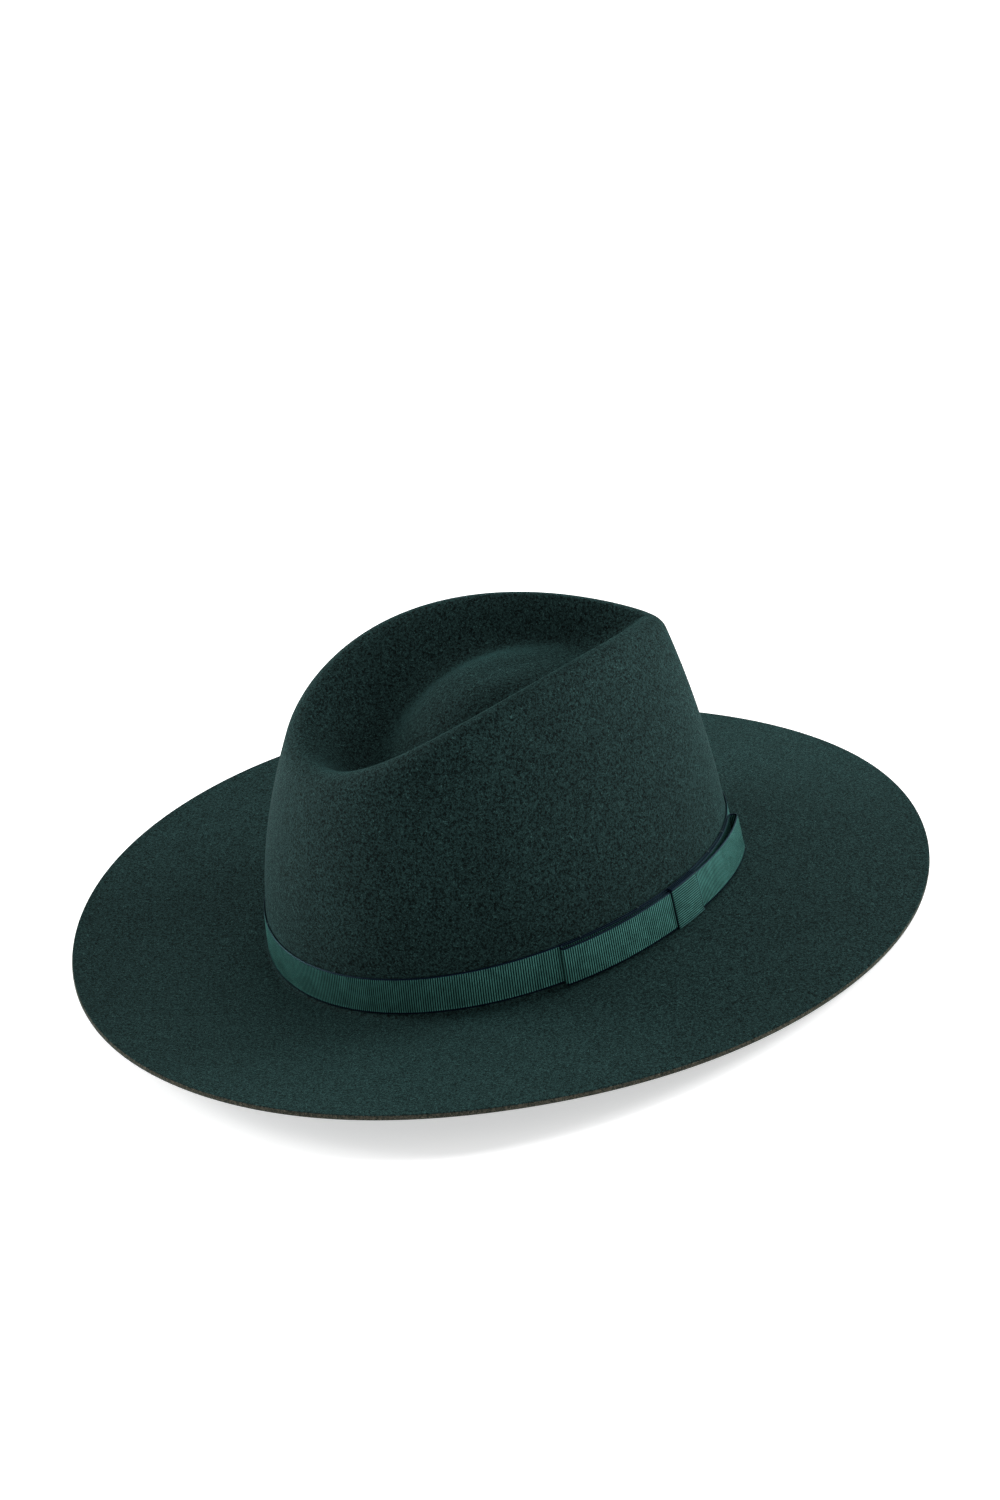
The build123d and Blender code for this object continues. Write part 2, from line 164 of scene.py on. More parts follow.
TAB_RIBS = 44
TAB_ROWS = 16
SMALL_SKIN = 0.25           # ribbon of the small bow
SMALL_DEPTH = 0.04
SMALL_ROWS = 8
SMALL_LOOP = (7.2, 5.2)     # middle and half length of each loop
SMALL_LOOP_LENGTH = 22
SMALL_LOOP_RIBS = 36
SMALL_LOOP_WIDTH = 4.5
SMALL_LOOP_WAIST = 1.2      # each loop is this much narrower at the knot
SMALL_LOOP_OUT = (0.6, 0.36)        # middle and half thickness, out from the band
SMALL_KNOT_LENGTH = 8
SMALL_KNOT_RIBS = 12
SMALL_KNOT_WIDTH = 3.6
SMALL_KNOT_HALF = 1.6
SMALL_KNOT_OUT = (0.75, 0.55)
BAND_COLUMNS = 360
BAND_ROWS = 16
BAND_TURNS = 8              # rows round the band's upper edge
STITCH_GAP = 0.02
STITCH_DIP = 0.16           # both ends of a stitch dip this far into the cloth
STITCH_TAPER = 0.985
STITCH_LEAST = 0.02
STITCH_RINGS = 9
STITCH_SIDES = 8
SHORT = 0.01                # share of the brim that gives the edge's outward direction
STEP = 1e-4

# ---- colours ----
FELT_COLOURS = ((0.0013, 0.0031, 0.0030), (0.0145, 0.0350, 0.0338))
CUT_EDGE_COLOURS = ((0.012, 0.016, 0.013), (0.060, 0.055, 0.042))
# In the ribbed cloth colours, dark is the painted shade of the rib valleys and light is the painted highlight
# of the rib crests.
GREEN = ((0.0005, 0.0022, 0.0024), (0.078, 0.245, 0.215))
# the knot's ribbon colour is darkened by this share: painted shade
KNOT_PAINTED_SHADE = 0.75
NAVY = (0.0016, 0.0030, 0.0100)
TAPE_COLOURS = ((0.004, 0.006, 0.008), (0.022, 0.030, 0.034), (0.01, 0.01, 0.02))
SMALL_BOW_COLOURS = ((0.006, 0.016, 0.016), (0.035, 0.085, 0.080), (0.009, 0.011, 0.030))
TAB_COLOURS = ((0.30, 0.29, 0.26), (0.62, 0.60, 0.55), (0.5, 0.48, 0.44))
LEATHER = (0.020, 0.017, 0.015)
THREAD = (0.012, 0.020, 0.022)
TACK_THREAD = (0.012, 0.030, 0.030)
REED = (0.03, 0.03, 0.03)
WHITE = (1, 1, 1, 1)

# ---- camera: measured in the hat's own frame ----
VIEW_AZIMUTH = 257.03
VIEW_ELEVATION = 31.92
VIEW_ROLL = -11.44
VIEW_DISTANCE = 1200.0
VIEW_SCALE = 2.32           # image units of a 1500 high picture for each millimetre at the hat
PICTURE_HEIGHT = 1500
VIEW_SHIFT = (-0.0016, 0.0918)
VIEW_RANGE = (0.05, 300)
SENSOR = 36.0

# ---- stage: metres and watts; each direction is so much to the camera's right, away from it and up ----
FLOOR_REACH = 60.0
FLOOR_GREY = 0.9
FLOOR_GLOW = 0.45
SKY_HEIGHTS = (0.12, 0.55)
SKY_STRENGTHS = (1.0, 0.36)
SUN_TOWARDS = (0.35, 0.55, 1)
SUN_STRENGTH = 1.55
SUN_SPREAD = 35
AIM = (0, 0, 0.06)
SOFTBOXES = (
    ("right", (1.2, 0.35, 0.35), (0.5, 0.8), 20),
    ("left", (-1.2, 0.35, 0.35), (0.5, 0.8), 22),
    ("front", (0.3, -1.5, 0.45), (1.4, 0.7), 6),
)

REST = Matrix.Translation((0, REST_SHIFT, REST_LIFT)) @ Matrix.Rotation(radians(REST_TILT), 4, "X")
MM = 0.001


def to_frame(points):
    """Points of the hat's own frame, in millimetres, in the shared frame, in metres."""
    turn = np.array(REST.to_3x3())
    return (points @ turn.T + np.array(REST.translation)) * MM


# ---- outlines ----
def foot_outline(angle, grow=0.0):
    """The crown's outline at its foot, moved out by grow, and its outward normal."""
    x = HALF_WIDTH * np.sin(angle) * (1 - EGG * np.cos(angle))
    y = -HALF_LENGTH * np.cos(angle)
    dx = HALF_WIDTH * (np.cos(angle) - EGG * np.cos(2 * angle))
    dy = HALF_LENGTH * np.sin(angle)
    size = np.hypot(dx, dy)
    return x + grow * dy / size, y - grow * dx / size, dy / size, -dx / size


def teardrop(angle):
    """Half width of the ridge's outline, before scaling."""
    return np.sin(angle) * (np.sin(angle / 2) ** 2 + RIM_TIP) ** (RIM_POINT / 2)


TEARDROP_WIDEST = teardrop(np.radians(np.arange(180))).max()


def ridge_outline(angle):
    x = RIM_HALF_WIDTH * teardrop(angle) / TEARDROP_WIDEST
    y = (RIM_FRONT + RIM_BACK) / 2 - (RIM_BACK - RIM_FRONT) / 2 * np.cos(angle)
    return x, y


def ridge_normal(angle):
    x1, y1 = ridge_outline(angle - STEP)
    x2, y2 = ridge_outline(angle + STEP)
    size = np.hypot(x2 - x1, y2 - y1)
    return (y2 - y1) / size, (x1 - x2) / size


def ridge_height(angle):
    along = -np.cos(angle)
    return RIM_HEIGHT + RIM_TILT * along + RIM_ARCH * along**2


def ridge_radius(angle):
    radius = RIDGE + RIDGE_SOFT
    return radius + RIDGE_FRONT * np.cos(angle / 2) ** 12 + RIDGE_BACK * np.sin(angle / 2) ** 4


def foot_height(angle):
    return -FOOT_SWAY * np.cos(2 * angle)


def edge_height(angle):
    sway = BRIM_SIDE * np.cos(2 * angle) - BRIM_SNAP * np.cos(angle) + BRIM_CURL * np.cos(3 * angle)
    return BRIM_LIFT + sway + BRIM_RAISE * np.maximum(-np.sin(angle), 0) ** 1.5


def hand_sway(angle):
    """Slight unevenness of a brim that was pressed by hand."""
    return sum(height * np.sin(waves * angle + phase) for height, waves, phase in HAND_SWAY)


# ---- felt surface, in stations from 0, the brim's edge, to 5, the centre of the dent ----
def brim_point(angle, share):
    out = 1 - share
    x, y = foot_outline(angle, FOOT_RADIUS + (BRIM_WIDTH - FOOT_RADIUS) * out)[:2]
    rise = (edge_height(angle) - foot_height(angle)) * max(out, 0) ** BRIM_EASE
    z = foot_height(angle) + rise + hand_sway(angle) * out**2
    return x, y - BRIM_STRETCH * np.cos(angle) * out, z


def fillet_point(angle, share):
    turn = share * pi / 2
    x, y = foot_outline(angle, FOOT_RADIUS * (1 - sin(turn)))[:2]
    return x, y, foot_height(angle) + FOOT_RADIUS * (1 - cos(turn))


def wall_bulge(angle):
    return WALL_BULGE + BACK_BULGE * ((1 - np.cos(angle)) / 2) ** 2


def wall_lean(angle):
    """Inward lean of the wall, in radians, where it runs into the ridge."""
    x0, y0 = foot_outline(angle)[:2]
    x1, y1 = ridge_outline(angle)
    nx, ny = ridge_normal(angle)
    run = (x0 - x1) * nx + (y0 - y1) * ny - RIDGE + 4 * wall_bulge(angle)
    rise = ridge_height(angle) + RIDGE - ridge_radius(angle) - foot_height(angle) - FOOT_RADIUS
    return np.arctan2(run, rise)


def ridge_point(angle, share):
    lean = wall_lean(angle)
    turn = lean + share * (pi / 2 - lean)
    x, y = ridge_outline(angle)
    nx, ny = ridge_normal(angle)
    radius = ridge_radius(angle)
    out = RIDGE - radius + radius * np.cos(turn)
    return x + nx * out, y + ny * out, ridge_height(angle) + RIDGE - radius + radius * np.sin(turn)


def wall_point(angle, share):
    x0, y0, nx0, ny0 = foot_outline(angle)
    z0 = foot_height(angle) + FOOT_RADIUS
    x1, y1, z1 = ridge_point(angle, 0)
    nx1, ny1 = ridge_normal(angle)
    bulge = 4 * share * (1 - share) * wall_bulge(angle)
    x = x0 + (x1 - x0) * share + (nx0 + (nx1 - nx0) * share) * bulge
    y = y0 + (y1 - y0) * share + (ny0 + (ny1 - ny0) * share) * bulge
    return x, y, z0 + (z1 - z0) * share


def dent_point(angle, share):
    size = 1 - share
    backward = (1 - np.cos(angle)) / 2
    x, y = ridge_outline(angle)
    nx, ny = ridge_normal(angle)
    inset = RIDGE - ridge_radius(angle)
    x, y = x + nx * inset, y + ny * inset
    rounder = min(share / DOME_ROUND_BY, 1) * DOME_ROUND
    x = x * (1 - rounder) + DOME_OVAL * RIM_HALF_WIDTH * np.sin(angle) * rounder
    end = np.where(np.cos(angle) > 0, GROOVE_FRONT, GROOVE_BACK)
    groove = GROOVE_SIDE + (end - GROOVE_SIDE) * np.cos(angle) ** 2
    depth = GROOVE_DEPTH + GROOVE_DEEPER * backward
    falling = depth * (1 - np.cos(pi * np.clip(share / (1 - groove), 0, 1) ** GROOVE_STEEP)) / 2
    climbing = np.clip(size / groove, 0, 1) ** DOME_FLAT
    rising = DOME_DROP + (depth - DOME_DROP) * (1 - np.cos(pi * climbing)) / 2
    drop = np.where(size > groove, falling, rising)
    ease = size**2 * (3 - 2 * size)
    level = DOME_HEIGHT + (ridge_height(angle) + RIDGE - DOME_HEIGHT) * ease
    return x * size, DENT_CENTRE + (y - DENT_CENTRE) * size, level - drop


SURFACES = [brim_point, fillet_point, wall_point, ridge_point, dent_point]


def felt_row(angle, station):
    index = min(max(int(station), 0), len(SURFACES) - 1)
    return np.stack(SURFACES[index](angle, station - index), -1)


def felt_normals(angle, station):
    around = felt_row(angle + STEP, station) - felt_row(angle - STEP, station)
    onward = felt_row(angle, station + STEP) - felt_row(angle, max(station - STEP, 0))
    normal = np.cross(around, onward)
    return normal / np.linalg.norm(normal, axis=-1, keepdims=True)


def on_crown(angle, height, out):
    """Points at a height above the foot of the crown, a distance out from the felt's outer face."""
    angle, height, out = np.broadcast_arrays(angle, height, out)
    low_height = np.clip(height, 0, FOOT_RADIUS)
    reach = FOOT_RADIUS - np.sqrt(FOOT_RADIUS**2 - (FOOT_RADIUS - low_height) ** 2)
    x0, y0, nx, ny = foot_outline(angle, np.where(out > 0, reach, 0))
    wall_height = ridge_point(angle, 0)[2] - foot_height(angle) - FOOT_RADIUS
    share = np.clip((height - FOOT_RADIUS) / wall_height, 0, 1)
    x1, y1, z1 = wall_point(angle, share)
    under = height < FOOT_RADIUS
    x = np.where(under, x0, x1) + nx * out
    y = np.where(under, y0, y1) + ny * out
    z = np.where(under, foot_height(angle) + height, z1)
    return np.stack([x, y, z], -1)


# ---- meshes ----
def smooth(data):
    data.polygons.foreach_set("use_smooth", [True] * len(data.polygons))
    data.update()


def placed(name, data):
    """A new object in the scene."""
    thing = bpy.data.objects.new(name, data)
    bpy.context.scene.collection.objects.link(thing)
    return thing


def grid_piece(name, grid, wrap_rows=False, wrap_columns=False, uv=None, caps=()):
    """A mesh over a grid of points in the hat's frame; uv gives each row's and column's value."""
    rows, columns = grid.shape[:2]
    points = to_frame(grid.reshape(-1, 3))
    row = np.arange(rows if wrap_rows else rows - 1)
    column = np.arange(columns if wrap_columns else columns - 1)
    r, c = np.meshgrid(row, column, indexing="ij")
    r2, c2 = (r + 1) % rows, (c + 1) % columns
    quads = np.stack([r * columns + c, r * columns + c2, r2 * columns + c2, r2 * columns + c], -1)
    faces = quads.reshape(-1, 4).tolist()
    for cap_row, flip in caps:
        ring = [cap_row * columns + step for step in range(columns)]
        faces.append(ring[::-1] if flip else ring)
    data = bpy.data.meshes.new(name)
    data.from_pydata(points.tolist(), [], faces)
    if uv is not None:
        across, along = uv
        steps = ((0, 0), (0, 1), (1, 1), (1, 0))
        corners = np.stack([np.stack([along[c + on], across[r + up]], -1) for up, on in steps], 2)
        flat = np.zeros((len(data.loops), 2))
        flat[: corners.size // 2] = corners.reshape(-1, 2)
        data.uv_layers.new(name="UVMap").data.foreach_set("uv", flat.ravel())
    smooth(data)
    return placed(name, data)


def felt_grid():
    """Closed skin of the felt: outside from dent to brim, round the cut edge, inside back up."""
    angle = np.linspace(0, 2 * pi, FELT_COLUMNS, endpoint=False)
    stations = np.array([index + step / rows for index, rows in enumerate(FELT_ROWS) for step in range(rows)])
    last = len(SURFACES) - DENT_END
    stations = np.append(stations[stations < last], last)
    outside = [felt_row(angle, station) for station in stations]
    normals = [felt_normals(angle, station) for station in stations]
    edge, normal = outside[0], normals[0]
    outward = edge - felt_row(angle, SHORT)
    outward /= np.linalg.norm(outward, axis=-1, keepdims=True)
    up, out = normal * FELT / 2, outward * FELT / 2 * EDGE_ROUND
    arc = [edge - up - out + up * cos(turn) + out * sin(turn) for turn in np.linspace(0, pi, EDGE_ROWS)]
    inside = [row - n * FELT for row, n in zip(outside[1:], normals[1:])]
    return np.array(outside[:0:-1] + arc + inside), len(outside) - 1


def felt_piece():
    grid, edge_row = felt_grid()
    piece = grid_piece("felt_body", grid, wrap_columns=True, caps=((0, True), (len(grid) - 1, False)))
    slots = np.zeros(len(piece.data.polygons), dtype=int)
    slots[(edge_row + 1) * FELT_COLUMNS : (edge_row + EDGE_ROWS - 2) * FELT_COLUMNS] = 1
    piece.data.materials.append(felt_material("felt", *FELT_COLOURS))
    piece.data.materials.append(felt_material("felt_cut_edge", *CUT_EDGE_COLOURS))
    piece.data.polygons.foreach_set("material_index", slots)
    return piece


def strip_piece(name, place, length, width, thick, ribs, closed, rows=STRIP_ROWS, depth=RIB_DEPTH):
    """A strip of ribbed cloth with its real thickness. place(along, across) gives the middle of
    the strip, with along and across from 0 to 1; ribs run across it."""
    columns = ribs * RIB_COLUMNS
    along = np.linspace(0, 1, columns + 1)
    steps = along[:-1] if closed else along
    crowded = (1 - np.cos(np.linspace(0, pi, rows))) / 2
    across = crowded * EDGE_CROWDING + np.linspace(0, 1, rows) * (1 - EDGE_CROWDING)
    u, v = np.meshgrid(steps, across)
    middle = place(u, v)
    normal = np.cross(place(u + STEP, v) - place(u - STEP, v), place(u, v + STEP) - place(u, v - STEP))
    normal /= np.linalg.norm(normal, axis=-1, keepdims=True)
    crest = np.abs(np.sin(pi * ribs * u)) ** RIB_SHAPE - 1
    fade = np.clip(np.minimum(v, 1 - v) * width / RIB_FADE, RIB_LEAST, 1)
    half = thick / 2 + depth * crest * fade
    front = middle + normal * half[..., None]
    back = middle - normal * half[..., None]
    grid = np.concatenate([front, back[::-1]])
    rim_across = np.concatenate([across, across[::-1], across[:1]])
    uv = (rim_across, along * length * MM)
    piece = grid_piece(name, grid, wrap_rows=True, wrap_columns=closed, uv=uv)
    if not closed:
        close_ends(piece, grid.shape)
    return piece


def close_ends(piece, shape):
    """Cap the two open ends of a strip with quads between its front and back."""
    rows, columns = shape[:2]
    data = piece.data
    faces = [list(face.vertices) for face in data.polygons]
    uvs = np.zeros(len(data.loops) * 2)
    data.uv_layers[0].data.foreach_get("uv", uvs)
    uvs = uvs.reshape(-1, 2).tolist()
    half = rows // 2
    for column, flip in ((0, False), (columns - 1, True)):
        for row in range(half - 1):
            other = rows - 1 - row
            corners = [(row, column), (row + 1, column), (other - 1, column), (other, column)]
            face = [r * columns + c for r, c in corners]
            faces.append(face[::-1] if flip else face)
            uvs += [[0.0, 0.5]] * 4
    new = bpy.data.meshes.new(data.name)
    new.from_pydata([tuple(vertex.co) for vertex in data.vertices], [], faces)
    new.uv_layers.new(name="UVMap").data.foreach_set("uv", np.array(uvs).ravel())
    smooth(new)
    piece.data = new


def resampled(outline):
    """A closed outline of (a, b) pairs as a function of the share of its length."""
    closed = np.concatenate([outline, outline[:1]])
    gaps = np.linalg.norm(np.diff(closed, axis=0), axis=1)
    share = np.concatenate([[0], np.cumsum(gaps)]) / gaps.sum()

    def at(where):
        where = np.mod(where, 1)
        return np.interp(where, share, closed[:, 0]), np.interp(where, share, closed[:, 1])

    return at


# ---- material nodes ----
def new_material(name):
    material = bpy.data.materials.new(name)
    material.use_nodes = True
    return material, material.node_tree, material.node_tree.nodes["Principled BSDF"]


def add(tree, kind, settings=None, **inputs):
    """A node with its settings and inputs; an input is a value or another node's socket."""
    node = tree.nodes.new("ShaderNode" + kind)
    for name, value in (settings or {}).items():
        setattr(node, name, value)
    for name, value in inputs.items():
        socket = node.inputs[int(name[1:])] if name[0] == "i" and name[1:].isdigit() else node.inputs[name]
        if isinstance(value, bpy.types.NodeSocket):
            tree.links.new(value, socket)
        else:
            socket.default_value = value
    return node


def here(tree):
    return add(tree, "TexCoord").outputs["Object"]


def settle(shader, **values):
    """Sets the shader's own sockets; a word's underscores stand for spaces."""
    for name, value in values.items():
        shader.inputs[name.replace("_", " ")].default_value = value


def noise(tree, vector, scale, detail=3.0, roughness=0.55, distortion=0.0):
    node = add(tree, "TexNoise", Vector=vector, Scale=scale, Detail=detail, Roughness=roughness,
               Distortion=distortion)
    return node.outputs["Fac"]


def calc(tree, operation, first, second=0.0):
    return add(tree, "Math", {"operation": operation}, i0=first, i1=second).outputs[0]


def between(tree, value, low, high, to_low=0.0, to_high=1.0):
    """A value's run from low to high, turned into a run from to_low to to_high."""
    node = add(tree, "MapRange", {"clamp": True}, Value=value)
    for name, number in (("From Min", low), ("From Max", high), ("To Min", to_low), ("To Max", to_high)):
        node.inputs[name].default_value = number
    return node.outputs[0]


def blend(tree, share, first, second):
    """A colour between two colours."""
    node = add(tree, "Mix", {"data_type": "RGBA"})
    for socket, value in ((node.inputs[0], share), (node.inputs[6], first), (node.inputs[7], second)):
        if isinstance(value, bpy.types.NodeSocket):
            tree.links.new(value, socket)
        elif isinstance(value, (int, float)):
            socket.default_value = value
        else:
            socket.default_value = (*value, 1)
    return node.outputs[2]


def bump(tree, height, distance, strength, normal=None):
    node = add(tree, "Bump", Height=height, Distance=distance, Strength=strength)
    if normal is not None:
        tree.links.new(normal, node.inputs["Normal"])
    return node.outputs[0]


def felt_material(name, dark, light):
    """Napped wool felt: matted fibres, mottled colour and a soft sheen."""
    material, tree, shader = new_material(name)
    place = here(tree)
    matted = noise(tree, place, scale=980, detail=4, roughness=0.72, distortion=0.6)
    fibres = noise(tree, place, scale=2000, detail=3, roughness=0.6, distortion=1.6)
    flecks = noise(tree, place, scale=1100, detail=2, roughness=0.5, distortion=2.0)
    cloud = noise(tree, place, scale=28, detail=2, roughness=0.5)
    tone = calc(tree, "ADD", calc(tree, "MULTIPLY", matted, 0.6), calc(tree, "MULTIPLY", fibres, 0.4))
    colour = blend(tree, between(tree, tone, 0.455, 0.56), dark, light)
    colour = blend(tree, between(tree, cloud, 0.3, 0.75, 0.0, 0.2), colour, dark)
    pale = [min(1, channel * 2.2) for channel in light]
    colour = blend(tree, between(tree, flecks, 0.60, 0.70, 0.0, 0.8), colour, pale)
    tree.links.new(colour, shader.inputs["Base Color"])
    low = bump(tree, matted, distance=0.0006, strength=0.55)
    tree.links.new(bump(tree, fibres, distance=0.0003, strength=0.5, normal=low), shader.inputs["Normal"])
    settle(shader, Roughness=0.92, Specular_IOR_Level=0.04, Sheen_Weight=0.075, Sheen_Roughness=0.3,
           Sheen_Tint=(0.22, 0.85, 0.82, 1))
    return material


def grosgrain_material(name, pitch, dark, light, edge, edge_share):
    """Ribbed ribbon: crests painted light and valleys painted dark, a painted highlight and painted shade on
    the ribs, and the two edges are a darker weave.
    """
    material, tree, shader = new_material(name)
    uv = add(tree, "UVMap").outputs[0]
    split = add(tree, "SeparateXYZ", Vector=uv)
    phase = calc(tree, "MULTIPLY", split.outputs[0], pi / (pitch * MM))
    crest = calc(tree, "ABSOLUTE", calc(tree, "SINE", phase))
    place = here(tree)
    threads = noise(tree, place, scale=5200, detail=2, roughness=0.5)
    streaks = noise(tree, place, scale=160, detail=2, roughness=0.5, distortion=1.0)
    # painted highlight on the rib crests and painted shade in the valleys, with a painted glint that varies
    # along the threads
    painted_glint = between(tree, threads, 0.25, 0.8, 0.6, 1.1)
    lit = calc(tree, "MULTIPLY", between(tree, crest, 0.5, 0.97), painted_glint)
    colour = blend(tree, lit, dark, light)
    colour = blend(tree, between(tree, streaks, 0.35, 0.7, 0.0, 0.35), colour, dark)
    inward = calc(tree, "ABSOLUTE", calc(tree, "SUBTRACT", split.outputs[1], 0.5))
    colour = blend(tree, between(tree, inward, 0.5 - edge_share, 0.5 - edge_share * 0.7), colour, edge)
    tree.links.new(colour, shader.inputs["Base Color"])
    tree.links.new(bump(tree, threads, distance=0.0001, strength=0.6), shader.inputs["Normal"])
    settle(shader, Roughness=0.38, Metallic=0.45, Specular_IOR_Level=0.12, Specular_Tint=(0.35, 0.9, 0.85, 1),
           Sheen_Weight=0.02, Sheen_Roughness=0.3, Sheen_Tint=(0.4, 0.95, 0.9, 1))
    return material


def leather_material(name, colour):
    material, tree, shader = new_material(name)
    place = here(tree)
    grain = add(tree, "TexVoronoi", {"feature": "DISTANCE_TO_EDGE"}, Vector=place, Scale=900.0).outputs[0]
    cells = between(tree, grain, 0.0, 0.12)
    cloud = noise(tree, place, scale=90)
    light = [channel * 2.2 for channel in colour]
    shade = blend(tree, between(tree, cloud, 0.3, 0.7), colour, light)
    pores = [channel * 0.5 for channel in colour]
    tree.links.new(blend(tree, cells, pores, shade), shader.inputs["Base Color"])
    tree.links.new(between(tree, cells, 0, 1, 0.62, 0.42), shader.inputs["Roughness"])
    tree.links.new(bump(tree, cells, distance=0.00015, strength=0.5), shader.inputs["Normal"])
    return material


def thread_material(name, colour):
    material, tree, shader = new_material(name)
    place = here(tree)
    twist = add(tree, "TexWave", {"wave_type": "BANDS", "bands_direction": "DIAGONAL"}, Vector=place,
                Scale=900.0, Distortion=0.6).outputs["Fac"]
    light = [min(1, channel * 2.0) for channel in colour]
    tree.links.new(blend(tree, twist, colour, light), shader.inputs["Base Color"])
    tree.links.new(bump(tree, twist, distance=0.0001, strength=0.5), shader.inputs["Normal"])
    settle(shader, Roughness=0.65)
    return material


def plastic_material(name, colour):
    material, tree, shader = new_material(name)
    place = here(tree)
    haze = noise(tree, place, scale=400, detail=2)
    light = [channel * 1.6 for channel in colour]
    tree.links.new(blend(tree, haze, colour, light), shader.inputs["Base Color"])
    tree.links.new(between(tree, haze, 0.3, 0.7, 0.38, 0.55), shader.inputs["Roughness"])
    return material


# ---- ribbon and bow ----
def band_place(along, across):
    out = RIBBON_GAP + RIBBON / 2
    return on_crown(along * 2 * pi, RIBBON_FOOT + across * RIBBON_WIDTH, out)


def loop_outline():
    """Middle line of the flattened loop: distance along the crown, distance out."""
    def spread(along):
        half_end = np.where(along > 0, LOOP_FRONT[0], LOOP_BACK[0])
        middle_end = np.where(along > 0, LOOP_FRONT[1], LOOP_BACK[1])
        opened = (1 - np.cos(pi * np.clip(np.abs(along) / BOW_HALF, 0, 1))) / 2
        half = KNOT_HALF_GAP + (half_end - KNOT_HALF_GAP) * opened
        return half, KNOT_MIDDLE + (middle_end - KNOT_MIDDLE) * opened

    low, high = LOOP_BACK[0] - BOW_HALF, BOW_HALF - LOOP_FRONT[0]
    forth = np.linspace(low, high, LOOP_POINTS)
    half, middle = spread(forth)
    turns = np.linspace(0, pi, FOLD_POINTS)[1:-1]
    (back_half, back_middle), (front_half, front_middle) = LOOP_BACK, LOOP_FRONT
    front = np.stack([high + front_half * np.sin(turns), front_middle + front_half * np.cos(turns)], -1)
    back = np.stack([low - back_half * np.sin(turns), back_middle - back_half * np.cos(turns)], -1)
    outer = np.stack([forth, middle + half], -1)
    inner = np.stack([forth, middle - half], -1)[::-1]
    return np.concatenate([outer, front, inner, back])


def bow_place(along, across):
    reach, out = resampled(loop_outline())(along)
    low, high = RIBBON_FOOT + LOOP_MARGIN[0], RIBBON_TOP - LOOP_MARGIN[1]
    return on_crown(BOW_ANGLE + reach / BOW_RADIUS, low + (high - low) * across, out)


def knot_outline():
    near = BAND_FACE + KNOT_SLACK + KNOT_SKIN / 2
    far = KNOT_MIDDLE + KNOT_HALF_GAP + RIBBON / 2 + KNOT_SLACK + KNOT_SKIN / 2
    low, high = RIBBON_FOOT - KNOT_OVER, RIBBON_TOP + KNOT_OVER
    outline = []
    for height, out, start in ((high, far, 0), (high, near, 90), (low, near, 180), (low, far, 270)):
        up = height + (KNOT_CORNER if height == low else -KNOT_CORNER)
        side = out + (KNOT_CORNER if out == near else -KNOT_CORNER)
        for turn in np.radians(np.linspace(start, start + 90, CORNER_POINTS)):
            outline.append((up + KNOT_CORNER * sin(turn), side + KNOT_CORNER * cos(turn)))
    return np.array(outline)


def knot_place(along, across):
    height, out = resampled(knot_outline())(along)
    reach = (across - 0.5) * KNOT_WIDTH
    return on_crown(BOW_ANGLE + reach / BOW_RADIUS, height, out)


def around_length(place):
    """Length of a closed strip along its middle."""
    along = np.linspace(0, 1, LENGTH_POINTS)
    gaps = np.diff(place(along, np.full_like(along, 0.5)), axis=0)
    return float(np.linalg.norm(gaps, axis=1).sum())


def ribbon_pieces():
    cloth = grosgrain_material("ribbon", RIB_PITCH, *GREEN, NAVY, edge_share=0.05)
    dark, light = GREEN
    # the knot gets a darker copy of the ribbon cloth: painted shade
    shaded_knot_light = [KNOT_PAINTED_SHADE * value for value in light]
    shaded_knot_cloth = grosgrain_material("ribbon_knot_painted_shade", RIB_PITCH, dark, shaded_knot_light, NAVY, edge_share=0.012)
    pale_navy = [2 * value for value in NAVY]
    # dark navy cloth for the knot's faces that look up or down: painted shade
    turned_shade_cloth = grosgrain_material("knot_turned_painted_shade", RIB_PITCH, NAVY, pale_navy, NAVY, edge_share=0.5)
    pieces = []
    for name, place, width, thick, depth, finish, held in (
        ("ribbon_band", band_place, RIBBON_WIDTH, RIBBON, RIB_DEPTH, cloth, "stretched"),
        ("bow_loop", bow_place, RIBBON_WIDTH, RIBBON, RIB_DEPTH, cloth, "folded"),
        ("bow_knot", knot_place, KNOT_WIDTH, KNOT_SKIN, RIB_DEPTH * KNOT_RIBS, shaded_knot_cloth, "folded"),
    ):
        length = around_length(place)
        ribs = round(length / RIB_PITCH)
        piece = strip_piece(name, place, ribs * RIB_PITCH, width, thick, ribs, True, depth=depth)
        piece.data.materials.append(finish)
        pieces.append((piece, length, width, held))
    knot = pieces[-1][0].data
    knot.materials.append(turned_shade_cloth)
    # faces of the knot that look up or down get the dark navy cloth: painted shade
    turned = [abs(face.normal.z) > KNOT_TURNED for face in knot.polygons]
    knot.polygons.foreach_set("material_index", np.array(turned, dtype=int))
    return pieces


# ---- inside the crown ----
def sweatband_piece():
    angle = np.linspace(0, 2 * pi, BAND_COLUMNS, endpoint=False)
    half = BAND / 2
    top = BAND_FOOT + BAND_HEIGHT - half
    face = [(height, BAND_MIDDLE + half) for height in np.linspace(BAND_FOOT, top, BAND_ROWS)]
    edge = [(top + half * sin(turn), BAND_MIDDLE + half * cos(turn))
            for turn in np.linspace(0, pi, BAND_TURNS)[1:-1]]
    profile = face + edge + [(height, BAND_MIDDLE * 2 - out) for height, out in face[::-1]]
    grid = np.array([on_crown(angle, height, out) for height, out in profile])
    piece = grid_piece("sweatband", grid, wrap_rows=True, wrap_columns=True)
    piece.data.materials.append(leather_material("band", LEATHER))
    return piece


